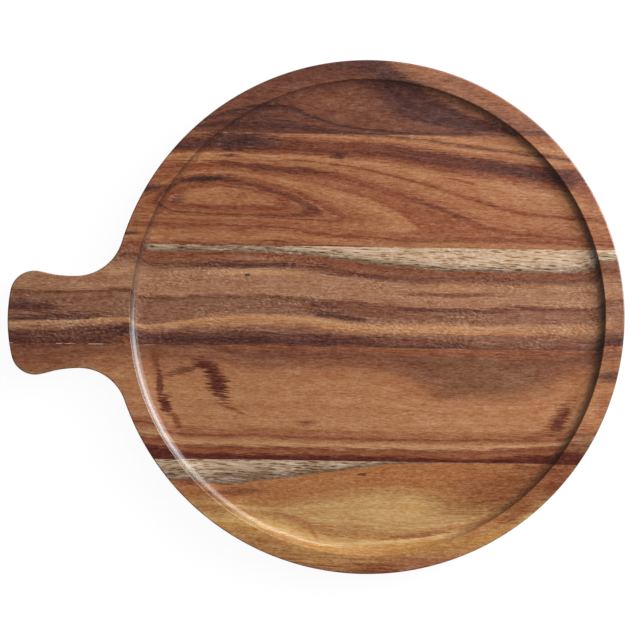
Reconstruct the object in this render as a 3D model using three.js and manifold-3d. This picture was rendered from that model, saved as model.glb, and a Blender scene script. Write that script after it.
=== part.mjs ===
// A round serving platter with a short grip, built as a panel of edge-glued hardwood staves.
// The panel is cut to its outline, its arrises are rounded and a shallow dish is routed into the top.
// Millimetres, +Z up. X runs along the staves, the disc's middle is on Z and the underside is at Z = 0.
import * as THREE from "three";
import { mergeVertices } from "three/addons/utils/BufferGeometryUtils.js";
import Module from "manifold-3d";

// The disc and its edges.
const DISC_DIAMETER = 362;
const THICKNESS = 20;
const EDGE_RADIUS = 1;

// The dish: a flat floor, a long sweep that lifts off it, a cove that climbs to the rim and an eased lip.
const RIM_WIDTH = 13;
const DISH_DEPTH = 5;
const SWEEP_RADIUS = 40;
const SWEEP_DEGREES = 11;
const COVE_RADIUS = 8;
const LIP_RADIUS = 0.8;

// The grip: its length past the disc's edge, its width at the flared end and at the neck, the fillets
// that run into the disc, the corners of the flared end and the slight bow of the end itself.
const GRIP_LENGTH = 72.5;
const GRIP_WIDTH = 73.3;
const NECK_WIDTH = 65;
const FILLET_RADIUS = 34;
const CORNER_RADIUS = 17;
const END_RADIUS = 112;
// The outline is cut slightly askew to the staves, so the grip's axis leans from their direction.
const GRIP_SKEW_DEGREES = 1.8;

// The panel: glue joints run along X, and the sawn widths are those of the staves between two joints.
const FRONT_JOINT = -102;
const GLUE_THICKNESS = 0.2;
const FRONT_GRIP_STAVE_WIDTH = 80.3;
const BACK_GRIP_STAVE_WIDTH = 71.3;
const INNER_STAVE_WIDTH = 79.3;

// How far a facet may lie from the true curve, and how far a cutter reaches past what it cuts.
const FACET_SAG = 0.05;
const CUTTER_OVERRUN = 5;

const DISC_RADIUS = DISC_DIAMETER / 2;
const GRIP_REACH = DISC_RADIUS + GRIP_LENGTH;
const FLOOR_HEIGHT = THICKNESS - DISH_DEPTH;
const LIP_CIRCLE = DISC_RADIUS - RIM_WIDTH;

const OILED_WOOD = { roughness: 0.45, metalness: 0 };
const STAVE_COLOURS = {
  edge_stave_front: 0xa97646,
  grip_stave_front: 0x9c6a44,
  grip_stave_back: 0x8a5f43,
  inner_stave_back: 0x94603e,
  edge_stave_back: 0x75493a,
};
const GLUE_COLOUR = 0xb59a72;

const wasm = await Module();
wasm.setup();

// A closed three.js geometry as a solid that can be joined and cut.
function solidFrom(geometry) {
  const bare = geometry.clone();
  bare.deleteAttribute("normal");
  bare.deleteAttribute("uv");
  const merged = mergeVertices(bare);
  return new wasm.Manifold(
    new wasm.Mesh({
      numProp: 3,
      vertProperties: merged.attributes.position.array,
      triVerts: new Uint32Array(merged.index.array),
    }),
  );
}

// A solid as a named mesh with its own material.
function meshFrom(solid, name, finish) {
  const cut = solid.getMesh();
  const geometry = new THREE.BufferGeometry();
  geometry.setAttribute("position", new THREE.BufferAttribute(cut.vertProperties, 3));
  geometry.setIndex(new THREE.BufferAttribute(cut.triVerts, 1));
  geometry.computeVertexNormals();
  const mesh = new THREE.Mesh(geometry, new THREE.MeshStandardMaterial(finish));
  mesh.name = name;
  return mesh;
}

// The facets an arc of this radius and sweep needs to stay within the allowed sag.
function stepsFor(radius, sweep) {
  const step = 2 * Math.acos(1 - Math.min(FACET_SAG / radius, 1));
  return Math.max(2, Math.ceil(Math.abs(sweep) / step));
}

// Points along an arc from one angle to another, the long way round where the angles say so.
function arc(centre, radius, from, to) {
  const curve = new THREE.EllipseCurve(centre.x, centre.y, radius, radius, from, to, to < from);
  return curve.getPoints(stepsFor(radius, to - from));
}

function angleTo(from, to) {
  return Math.atan2(to.y - from.y, to.x - from.x);
}

// The upper half of the grip as tangent arcs, with the grip's axis along +X: from the tip, round the
// flared corner, in along the neck and out again through the fillet to the disc.
function gripHalf() {
  const middle = new THREE.Vector2(0, 0);
  const gripHalfWidth = GRIP_WIDTH / 2;
  const neckHalfWidth = NECK_WIDTH / 2;

  // The fillet touches the disc and ends where the neck is narrowest.
  const filletHeight = neckHalfWidth + FILLET_RADIUS;
  const neckX = Math.sqrt((DISC_RADIUS + FILLET_RADIUS) ** 2 - filletHeight ** 2);
  const fillet = new THREE.Vector2(neckX, filletHeight);

  // The corner touches the full width and lies inside the end's arc.
  const end = new THREE.Vector2(GRIP_REACH - END_RADIUS, 0);
  const cornerY = gripHalfWidth - CORNER_RADIUS;
  const cornerX = end.x + Math.sqrt((END_RADIUS - CORNER_RADIUS) ** 2 - cornerY ** 2);
  const corner = new THREE.Vector2(cornerX, cornerY);
  const endSweep = angleTo(end, corner);

  // One hollow arc joins the neck's narrowest point to the corner.
  const across = cornerX - neckX;
  const rise = neckHalfWidth - cornerY;
  const neckRadius =
    (across ** 2 + rise ** 2 - CORNER_RADIUS ** 2) / (2 * (gripHalfWidth - neckHalfWidth));
  const neck = new THREE.Vector2(neckX, neckHalfWidth + neckRadius);

  return {
    discAngle: angleTo(middle, fillet),
    points: [
      ...arc(end, END_RADIUS, 0, endSweep),
      ...arc(corner, CORNER_RADIUS, endSweep, angleTo(corner, neck)),
      ...arc(neck, neckRadius, angleTo(neck, corner), -Math.PI / 2),
      ...arc(fillet, FILLET_RADIUS, -Math.PI / 2, angleTo(fillet, middle)),
    ],
  };
}

// The whole outline, counter-clockwise, with neighbouring arcs sharing one point.
function outline() {
  const half = gripHalf();
  const disc = arc(
    new THREE.Vector2(0, 0),
    DISC_RADIUS,
    half.discAngle,
    2 * Math.PI - half.discAngle,
  );
  const mirrored = half.points.map((p) => new THREE.Vector2(p.x, -p.y)).reverse();
  const round = [...half.points, ...disc, ...mirrored];
  const points = round.filter((p, i) => p.distanceTo(round.at(i - 1)) > FACET_SAG);
  const turn = Math.PI + THREE.MathUtils.degToRad(GRIP_SKEW_DEGREES);
  return new THREE.Shape(points.map((p) => p.rotateAround(new THREE.Vector2(0, 0), turn)));
}

// The panel cut to its outline, with both arrises rounded.
function blank() {
  const geometry = new THREE.ExtrudeGeometry(outline(), {
    depth: THICKNESS - 2 * EDGE_RADIUS,
    bevelThickness: EDGE_RADIUS,
    bevelSize: EDGE_RADIUS,
    bevelOffset: -EDGE_RADIUS,
    bevelSegments: stepsFor(EDGE_RADIUS, Math.PI / 2),
  });
  geometry.translate(0, 0, EDGE_RADIUS);
  return solidFrom(geometry);
}

// The router's cut: the dish's section turned about the disc's axis. The sweep is tangent to the floor and
// to the cove, the cove to the lip and the lip to the rim.
function dishCutter() {
  const lip = new THREE.Vector2(LIP_CIRCLE, THICKNESS - LIP_RADIUS);
  const sweepAngle = THREE.MathUtils.degToRad(SWEEP_DEGREES);
  const sweepEnd = sweepAngle - Math.PI / 2;
  const sweepHeight = FLOOR_HEIGHT + SWEEP_RADIUS;
  const apart = SWEEP_RADIUS - COVE_RADIUS;
  const coveHeight = sweepHeight - apart * Math.cos(sweepAngle);
  const coveRun = Math.sqrt((COVE_RADIUS + LIP_RADIUS) ** 2 - (coveHeight - lip.y) ** 2);
  const cove = new THREE.Vector2(LIP_CIRCLE - coveRun, coveHeight);
  const sweep = new THREE.Vector2(cove.x - apart * Math.sin(sweepAngle), sweepHeight);
  const section = [
    new THREE.Vector2(0, FLOOR_HEIGHT),
    ...arc(sweep, SWEEP_RADIUS, -Math.PI / 2, sweepEnd),
    ...arc(cove, COVE_RADIUS, sweepEnd, angleTo(cove, lip)).slice(1),
    ...arc(lip, LIP_RADIUS, angleTo(lip, cove), Math.PI / 2).slice(1),
    new THREE.Vector2(LIP_CIRCLE, THICKNESS + CUTTER_OVERRUN),
    new THREE.Vector2(0, THICKNESS + CUTTER_OVERRUN),
  ];
  const geometry = new THREE.LatheGeometry(section, stepsFor(LIP_CIRCLE, 2 * Math.PI));
  geometry.rotateX(Math.PI / 2);
  return solidFrom(geometry);
}

// The part of the board between two planes across the staves. The slab's faces are set to the planes
// themselves, so that a stave and the glue beside it share one face exactly.
function slice(board, low, high) {
  const length = 2 * (GRIP_REACH + DISC_RADIUS);
  const slab = new THREE.BoxGeometry(length, high - low, 2 * (THICKNESS + CUTTER_OVERRUN));
  const corners = slab.attributes.position;
  for (let i = 0; i < corners.count; i += 1) {
    corners.setY(i, corners.getY(i) < 0 ? low : high);
  }
  return board.intersect(solidFrom(slab));
}

// Staves from front to back. Each joint is a film of glue centred on its plane.
function platter() {
  const board = blank().subtract(dishCutter());
  const gripJoint = FRONT_JOINT + FRONT_GRIP_STAVE_WIDTH;
  const innerJoint = gripJoint + BACK_GRIP_STAVE_WIDTH;
  const backJoint = innerJoint + INNER_STAVE_WIDTH;
  const pastOutline = DISC_RADIUS + CUTTER_OVERRUN;
  const edges = [-pastOutline, FRONT_JOINT, gripJoint, innerJoint, backJoint, pastOutline];
  const joints = {
    glue_line_front: FRONT_JOINT,
    glue_line_grip: gripJoint,
    glue_line_inner: innerJoint,
    glue_line_back: backJoint,
  };
  const halfGlue = GLUE_THICKNESS / 2;

  const group = new THREE.Group();
  Object.entries(STAVE_COLOURS).forEach(([name, color], i) => {
    const low = edges[i] + halfGlue;
    const high = edges[i + 1] - halfGlue;
    group.add(meshFrom(slice(board, low, high), name, { ...OILED_WOOD, color }));
  });
  Object.entries(joints).forEach(([name, joint]) => {
    const film = slice(board, joint - halfGlue, joint + halfGlue);
    group.add(meshFrom(film, name, { color: GLUE_COLOUR, roughness: 0.6, metalness: 0 }));
  });
  return group;
}

export default platter();
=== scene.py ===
"""Round serving platter of edge-glued acacia staves, with a routed dish and a short grip."""

import logging
import math
from collections.abc import Callable
from dataclasses import dataclass, field
from enum import Enum
from functools import partial

import bmesh
import bpy
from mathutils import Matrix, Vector


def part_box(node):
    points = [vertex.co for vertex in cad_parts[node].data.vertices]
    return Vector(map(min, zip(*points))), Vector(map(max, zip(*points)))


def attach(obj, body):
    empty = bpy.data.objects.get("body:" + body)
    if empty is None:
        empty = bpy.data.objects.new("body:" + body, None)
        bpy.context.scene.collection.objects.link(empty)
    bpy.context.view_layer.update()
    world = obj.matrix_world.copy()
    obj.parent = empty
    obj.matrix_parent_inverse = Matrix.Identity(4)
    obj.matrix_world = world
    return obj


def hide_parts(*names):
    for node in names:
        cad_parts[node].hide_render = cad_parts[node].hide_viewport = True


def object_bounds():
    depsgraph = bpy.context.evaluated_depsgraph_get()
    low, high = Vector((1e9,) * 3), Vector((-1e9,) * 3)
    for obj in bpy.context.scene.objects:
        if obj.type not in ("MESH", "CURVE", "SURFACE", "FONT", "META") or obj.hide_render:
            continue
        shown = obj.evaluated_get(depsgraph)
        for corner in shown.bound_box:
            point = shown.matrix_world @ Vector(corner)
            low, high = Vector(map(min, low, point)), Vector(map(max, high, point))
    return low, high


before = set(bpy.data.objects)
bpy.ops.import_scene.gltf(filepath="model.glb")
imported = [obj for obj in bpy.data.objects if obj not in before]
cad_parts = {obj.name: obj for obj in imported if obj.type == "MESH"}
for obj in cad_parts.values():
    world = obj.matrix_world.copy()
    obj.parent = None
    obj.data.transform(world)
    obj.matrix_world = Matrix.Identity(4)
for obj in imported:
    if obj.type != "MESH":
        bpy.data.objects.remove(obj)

LOG = logging.getLogger("platter")
CAD_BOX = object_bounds()
MM = 0.001
Point = tuple[float, float]
Feed = bpy.types.Node | bpy.types.NodeSocket | float


def linear(colour: str) -> tuple[float, float, float, float]:
    """Turn an sRGB hex colour into linear red, green, blue and alpha.

    Args:
        colour: Six hex digits after a hash sign.

    Returns:
        Linear channels, with alpha 1.
    """
    channels = [int(colour[i:i + 2], 16) / 255 for i in (1, 3, 5)]
    bent = [c / 12.92 if c <= 0.04045 else ((c + 0.055) / 1.055) ** 2.4 for c in channels]
    return (*bent, 1.0)


def add_node(
    tree: bpy.types.NodeTree, kind: str, feeds: dict[int | str, object] | None = None, **settings: object
) -> bpy.types.Node:
    """Add a node, set its options and feed its sockets.

    Args:
        tree: Tree that gets the node.
        kind: The node's type.
        feeds: For each input, by name or number, a fixed value, a socket, a node whose first output in use
            feeds it, or a list of such nodes.
        settings: The node's own options.

    Returns:
        The new node.
    """
    node = tree.nodes.new(kind)
    for name, value in settings.items():
        setattr(node, name, value)
    for key, value in (feeds or {}).items():
        for feed in value if isinstance(value, list) else [value]:
            if isinstance(feed, bpy.types.Node):
                feed = next(socket for socket in feed.outputs if socket.enabled)
            if isinstance(feed, bpy.types.NodeSocket):
                tree.links.new(feed, node.inputs[key])
            else:
                node.inputs[key].default_value = feed
    return node


def node_adder(owner: bpy.types.Material | bpy.types.World) -> Callable[..., bpy.types.Node]:
    """Give a material or a world an empty tree.

    Args:
        owner: What gets the tree.

    Returns:
        A function that adds a node to that tree.
    """
    owner.use_nodes = True
    owner.node_tree.nodes.clear()
    return partial(add_node, owner.node_tree)


class Tone(Enum):
    """The colours of oiled acacia: dark veins, brown heartwood and grey-beige sapwood."""

    INK = "#33201d"
    PLUM = "#502e28"
    OXBLOOD = "#582519"
    MAROON = "#653729"
    UMBER = "#643b2f"
    COCOA = "#744633"
    RUST = "#80472e"
    BARK = "#7d553b"
    CHESTNUT = "#83533b"
    CLAY = "#8e5437"
    RUSSET = "#985f3f"
    SIENNA = "#87502e"
    OCHRE = "#a56c41"
    CARAMEL = "#a26b48"
    TAN = "#ac7650"
    AMBER = "#ae7d4c"
    FAWN = "#8a5e47"
    DUN = "#a07254"
    SAND = "#b47e55"
    HONEY = "#ba8b62"
    STRAW = "#be9560"
    CREAM = "#cda56b"
    GOLD = "#b9874c"
    DRIFT = "#775c48"
    ASH = "#977e66"
    SAPWOOD = "#b2977c"
    PALE = "#c3a68a"


class Edge(Enum):
    """How the edge of a stain runs out along the grain: how far it is torn, and its softness."""

    SOFT = (0.9, 0.8)
    TORN = (2.6, 0.5)


class Line:
    """One growth line of a stave, drawn along it at the dish floor's level, in millimetres."""

    def __init__(self, tone: Tone, *points: Point) -> None:
        """Draw the line.

        Args:
            tone: The wood's colour along it.
            points: Places that it runs through, from left to right.
        """
        self.tone = tone
        self.points = points


def sheaf(along: tuple[float, ...], *rows: tuple[Tone | float, ...]) -> tuple[Line, ...]:
    """Draw neighbouring growth lines that are given at the same places along the stave.

    Args:
        along: Those places, from left to right.
        rows: For each line its tone, then its place across the stave at each of them.

    Returns:
        The lines, from front to back.
    """
    return tuple(Line(tone, *zip(along, across)) for tone, *across in rows)


@dataclass(frozen=True)
class Ring:
    """A growth ring that closes: its front and back lines, which cross at its tips."""

    tone: Tone
    front: tuple[Point, ...]
    back: tuple[Point, ...]


@dataclass(frozen=True)
class Stain:
    """A patch of other colour in the wood, an ellipse in millimetres at the dish floor's level."""

    tone: Tone
    at: Point
    reach: Point
    turn: float = 0.0
    strength: float = 0.8
    edge: Edge = Edge.SOFT


@dataclass(frozen=True)
class Torn(Stain):
    """A stain whose edge is torn along the grain."""

    edge: Edge = Edge.TORN


@dataclass(frozen=True)
class Figure:
    """The figure of one stave: its growth lines from front to back, then what lies over them.

    The slope is how far the figure moves across the stave for each step up through the board. Fleck and curl
    are the strengths of the short flecks and of the curly grain.
    """

    lines: tuple[Line, ...]
    rings: tuple[Ring, ...] = ()
    stains: tuple[Stain, ...] = ()
    slope: float = 0.5
    fleck: float = 0.6
    curl: float = 0.3


@dataclass(frozen=True)
class Grain:
    """One scale of the wood's texture: the length and width of a grain in millimetres, and its lean.

    The strength is how far it lightens and darkens the wood, where that is the same in every stave.
    """

    length: float
    width: float
    octaves: float
    lean: float = 0.0
    strength: float = 0.0

    @property
    def scale(self) -> tuple[float, float, float]:
        """A grain's size along the fibres, across them and through the plank."""
        return (self.length, self.width, self.width)


EDGE_FRONT_FIGURE = Figure(
    slope=0.48,
    fleck=0.95,
    lines=(
        Line(Tone.RUST, (-150, -200), (-60, -196), (-20, -188), (0, -182), (40, -180), (80, -178),
             (150, -163)),
        Line(Tone.AMBER, (-150, -150), (-80, -158), (-40, -168), (0, -171), (60, -170), (150, -150)),
        Line(Tone.GOLD, (-150, -146), (-80, -153.5), (-60, -157), (-40, -163), (0, -164.5), (30, -161),
             (60, -157), (150, -138)),
        Line(Tone.CREAM, (-150, -142), (-80, -148.5), (-60, -150), (-40, -157), (-20, -160),
             (20, -158.5), (50, -154), (150, -134)),
        Line(Tone.AMBER, (-150, -137), (-60, -141), (-38, -149), (-20, -154), (20, -155.8), (50, -151),
             (150, -131)),
        Line(Tone.AMBER, (-150, -135.5), (-60, -139.6), (-40, -146), (-28, -151), (25, -153.5),
             (50, -149.5), (150, -129)),
        Line(Tone.STRAW, (-150, -134.5), (-60, -138.4), (-40, -142), (0, -146), (20, -149), (50, -147),
             (150, -127)),
        Line(Tone.STRAW, (-150, -133.5), (-60, -137.4), (-30, -137), (30, -141), (55, -140), (80, -135),
             (150, -125)),
        Line(Tone.STRAW, (-150, -132.5), (-60, -136.4), (-30, -134), (25, -128), (45, -130), (60, -136),
             (150, -122)),
        Line(Tone.AMBER, (-150, -131), (-60, -134), (-30, -128), (25, -122.5), (50, -126), (60, -131),
             (150, -119)),
        Line(Tone.OCHRE, (-150, -127), (-70, -129), (-30, -122), (0, -118), (40, -117.5), (150, -114)),
        Line(Tone.OCHRE, (-150, -122), (-100, -123.5), (-70, -121.5), (-30, -116), (0, -112), (40, -111),
             (150, -107)),
        Line(Tone.OCHRE, (-150, -119.6), (-100, -121), (-70, -117.5), (-30, -111.2), (20, -104.6),
             (60, -103.4), (150, -101)),
        Line(Tone.DRIFT, (-150, -118), (-110, -119.6), (-90, -119), (-60, -113.6), (0, -105.4),
             (20, -103.2), (150, -100)),
        *sheaf(
            (-150, -110, -60, -30, 0, 150),
            (Tone.ASH, -114, -115, -110.5, -107, -103.8, -99),
            (Tone.SAPWOOD, -108, -108, -106, -104, -102, -98),
        ),
    ),
    stains=(
        Stain(Tone.UMBER, (112, -105), (12, 5), 0, 0.6),
        Stain(Tone.COCOA, (130, -112), (22, 12), -20, 0.8),
        Torn(Tone.OXBLOOD, (-2, -111), (4, 1.4), 0, 0.8),
        Stain(Tone.PALE, (-106, -107), (34, 5), 0, 0.6),
        Torn(Tone.DRIFT, (-75, -113), (40, 3), 5, 0.7),
        Stain(Tone.RUST, (-92, -125), (34, 5), 4, 0.8),
        Stain(Tone.SIENNA, (104, -122), (78, 26), 10, 0.95),
        Stain(Tone.CREAM, (26, -137), (28, 8), 8, 0.5),
        Stain(Tone.OCHRE, (86, -147), (38, 10), 22, 0.85),
        Stain(Tone.RUSSET, (42, -174), (42, 8), 6, 0.8),
        Stain(Tone.SIENNA, (108, -136), (26, 11), 45, 0.85),
        Stain(Tone.RUST, (136, -114), (22, 11), 50, 0.95),
        Stain(Tone.OCHRE, (-112, -136), (22, 7), -42, 0.6),
        Stain(Tone.RUST, (-124, -120.5), (16, 4), 0, 0.9),
        Stain(Tone.OCHRE, (-52, -142), (20, 3), -22, 0.7),
        Stain(Tone.OCHRE, (-37, -151), (11, 3), -60, 0.7),
        Torn(Tone.RUSSET, (36, -154), (30, 1.6), 8, 0.9),
    ),
)

GRIP_FRONT_FIGURE = Figure(
    slope=0.8,
    fleck=0.75,
    lines=(
        Line(Tone.OXBLOOD, (-160, -101), (0, -102.5), (181, -103)),
        *sheaf(
            (-160, -110, 0, 60, 110, 181),
            (Tone.OXBLOOD, -97, -99, -99.6, -100.5, -99, -97),
            (Tone.CLAY, -94.5, -96.5, -97, -97.6, -96, -94),
            (Tone.RUST, -91, -93.5, -94.4, -94, -92.5, -90),
            (Tone.HONEY, -87, -90, -91, -91, -90, -87),
        ),
        Line(Tone.CARAMEL, (-160, -84), (-110, -87), (0, -88.3), (110, -88), (181, -85)),
        Line(Tone.RUST, (-160, -79.8), (-130, -84.6), (-60, -85.2), (0, -86.2), (110, -86.2), (181, -82.3)),
        Line(Tone.RUSSET, (-160, -78.5), (-130, -83.2), (0, -84.9), (110, -84.9), (181, -80.5)),
        Line(Tone.TAN, (-160, -72), (-100, -77), (0, -78), (60, -78), (110, -76), (181, -70)),
        Line(Tone.TAN, (-160, -60), (-100, -66), (20, -66), (60, -68), (110, -66), (150, -54), (181, -45)),
        Line(Tone.TAN, (-200, -45), (-150, -48), (-40, -52), (10, -52), (40, -62), (110, -62), (181, -40)),
        Line(Tone.CARAMEL, (-250, -40), (-150, -40), (20, -42), (60, -58), (110, -56), (150, -42),
             (181, -32)),
        Line(Tone.CHESTNUT, (-250, -36), (-120, -25), (-80, -32), (0, -32), (60, -45), (110, -44),
             (150, -32), (181, -26)),
        Line(Tone.COCOA, (-250, -30), (-120, -19), (-80, -27.5), (0, -27.5), (60, -31), (110, -31),
             (181, -22)),
        Line(Tone.CLAY, (-250, -18), (-120, -17), (-80, -21), (0, -22.5), (181, -20)),
    ),
    stains=(
        Stain(Tone.BARK, (80, -42), (66, 21), -4, 0.75),
        Stain(Tone.RUSSET, (168, -63), (13, 15), 0, 0.8),
        Stain(Tone.BARK, (157, -92), (24, 11), 0, 0.85),
        Stain(Tone.COCOA, (52, -55), (14, 5), 0, 0.5),
        Torn(Tone.COCOA, (-52, -26), (50, 4), 0, 0.6),
        Stain(Tone.SAND, (-124, -55), (16, 10), 0, 0.5),
        Torn(Tone.OXBLOOD, (-106, -47), (20, 8), -60, 0.95),
        Torn(Tone.OXBLOOD, (-113, -36), (12, 5), -12, 0.95),
        Torn(Tone.OXBLOOD, (-130, -39.5), (18, 3), 14, 0.7),
        Torn(Tone.RUST, (-149, -33), (14, 2.6), -78, 0.8),
        Torn(Tone.OXBLOOD, (-146, -50), (14, 3.2), -88, 0.8),
        Torn(Tone.OXBLOOD, (-141, -64), (9, 5), -68, 0.95),
        Torn(Tone.RUST, (-134, -75), (10, 3), -66, 0.8),
        Torn(Tone.RUST, (-96, -66), (16, 1.4), -22, 0.7),
        Torn(Tone.RUST, (137, -70), (22, 7.5), 56, 0.8),
        Torn(Tone.OXBLOOD, (136, -73), (13, 5), 56, 0.7),
        Torn(Tone.RUST, (122, -82), (18, 4), 20, 0.6),
        Stain(Tone.COCOA, (-226, -33), (15, 8), -48, 0.6),
        Stain(Tone.CHESTNUT, (-228, -40), (52, 16), 0, 0.7),
        Stain(Tone.PLUM, (172, -43), (20, 9), 0, 0.8),
        Torn(Tone.RUST, (-42, -75.5), (10, 3), 0, 0.8),
    ),
)

GRIP_BACK_FIGURE = Figure(
    slope=1.26,
    fleck=0.95,
    curl=1.4,
    lines=(
        Line(Tone.CLAY, (-254, -38), (-200, -35), (-160, -28), (-100, -23.5), (181, -24)),
        *sheaf(
            (-254, -200, -160, -50, 0, 60, 181),
            (Tone.PLUM, -26, -24, -18.5, -18.5, -19.5, -24, -25),
            (Tone.UMBER, -20, -18, -14.5, -14, -15, -18, -19),
        ),
        Line(Tone.FAWN, (-254, -17.5), (-200, -15.5), (-160, -12), (-100, -9.5), (-50, -9.5), (0, -12.3),
             (181, -12)),
        Line(Tone.SAND, (-254, -15), (-160, -9.8), (-100, -5), (-70, -3.4), (-40, -5.5), (0, -9.5),
             (60, -10), (181, -8.5)),
        *sheaf(
            (-254, -160, -100, -75, -50, -20, 0, 181),
            (Tone.HONEY, -13.8, -8.6, -1.6, 0, -1, -4.8, -6.5, -5.5),
            (Tone.DUN, -13, -7.8, -0.5, 1.2, 0.6, -3, -4.5, -4),
            (Tone.FAWN, -11.6, -6.8, 0.3, 2, 2, -1.4, -2.4, -2.5),
            (Tone.FAWN, -8.5, -5.9, 1, 2.8, 4, 1, 0, 0),
            (Tone.FAWN, -4, -3.5, 3, 4.8, 7, 4, 2.6, 3),
        ),
        Line(Tone.FAWN, (-254, 5), (-160, 8), (-75, 11.5), (-50, 10.5), (-20, 8), (0, 6.5), (60, 4),
             (181, 5.8)),
        Line(Tone.COCOA, (-254, 8.5), (-215, 8.2), (-158, 10.6), (-75, 13.6), (-20, 10), (0, 8), (60, 5),
             (100, 7), (181, 7.3)),
        Line(Tone.DUN, (-254, 10.5), (-215, 10.3), (-158, 12.8), (-75, 16), (-20, 12.5), (60, 7),
             (100, 9.4), (181, 9.6)),
        Line(Tone.DUN, (-254, 16), (-160, 18), (-100, 20), (-50, 20), (0, 16), (60, 12), (100, 14),
             (181, 15)),
        Line(Tone.DUN, (-254, 19), (-160, 22), (-100, 24), (-50, 24), (-15, 19.5), (60, 17), (100, 18.5),
             (181, 19)),
        *sheaf(
            (-254, -160, -100, -60, -30, 0, 60, 181),
            (Tone.DUN, 21.5, 27, 29, 30, 25.5, 22, 20.6, 21.5),
            (Tone.DUN, 24, 30, 31.6, 32.6, 28, 24.5, 22, 23.5),
        ),
        *sheaf(
            (-254, -160, -60, -30, 0, 30, 60, 181),
            (Tone.FAWN, 27, 33, 34.6, 31, 27.2, 25.6, 24.8, 26),
            (Tone.COCOA, 29.5, 36, 36.2, 33, 29.6, 28, 27.4, 29),
            (Tone.CHESTNUT, 32, 38.4, 39, 36, 32.4, 30.2, 29.2, 31),
            (Tone.RUST, 37, 43.4, 43, 40.2, 36.8, 33.8, 31.4, 33),
            (Tone.DRIFT, 39, 45, 44.8, 42, 38.6, 35.4, 33, 34.5),
            (Tone.ASH, 42, 47.5, 46.8, 43.8, 40.4, 37.4, 35, 36.5),
        ),
        Line(Tone.SAPWOOD, (-254, 52), (-160, 56), (-100, 55), (-60, 50), (-30, 46), (0, 42.5), (60, 37),
             (181, 39)),
        Line(Tone.PALE, (-254, 60), (-100, 62), (-60, 56), (-30, 50), (0, 46), (60, 41), (181, 43)),
    ),
    stains=(
        Torn(Tone.COCOA, (0, 5), (60, 7), -3, 0.7),
        Torn(Tone.PLUM, (-24, 1), (26, 3), -8, 0.8),
        Torn(Tone.UMBER, (-30, 8), (26, 2.2), -8, 0.7),
        Torn(Tone.UMBER, (55, 5), (55, 2), 0, 0.8),
        Torn(Tone.COCOA, (62, 16.6), (40, 1.8), 0, 0.8),
        Torn(Tone.UMBER, (118, 7.6), (26, 1.8), -6, 0.8),
        Stain(Tone.HONEY, (-80, 30), (58, 3.4), 0, 0.85),
        Stain(Tone.SAND, (62, 21.4), (40, 1.8), 0, 0.7),
        Torn(Tone.INK, (-105, -18), (40, 3), 0, 0.25),
        Stain(Tone.COCOA, (20, -17.5), (44, 5), 0, 0.7),
        Stain(Tone.COCOA, (-215, -22), (50, 5), 2, 0.6),
        Stain(Tone.DUN, (-215, -14), (50, 3), 3, 0.6),
        Stain(Tone.SAND, (-95, -0.5), (46, 2.4), 2, 0.5),
        Stain(Tone.DUN, (130, -7), (70, 5), 0, 0.65),
        Stain(Tone.FAWN, (178, -6), (16, 10), 0, 0.8),
        Stain(Tone.CHESTNUT, (178, 24), (18, 8), 0, 0.8),
        Stain(Tone.HONEY, (-178, 24), (18, 5), 0, 0.7),
        Stain(Tone.FAWN, (110, -17), (90, 7), 0, 0.6),
        Torn(Tone.PLUM, (-78, 35.4), (56, 2.4), 0, 0.75),
        Torn(Tone.UMBER, (0, 29), (54, 2), -4, 0.8),
        Torn(Tone.COCOA, (100, 27), (70, 3), 0, 0.7),
        Stain(Tone.DUN, (-85, 40.5), (45, 2.6), 0, 0.6),
        Torn(Tone.PLUM, (-242, -2), (26, 6), 0, 0.8),
        Torn(Tone.PLUM, (-224, -9.5), (48, 2.6), 3, 0.85),
        Stain(Tone.INK, (-85, 28.2), (3, 1.7), 0, 0.95),
    ),
)

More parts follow.
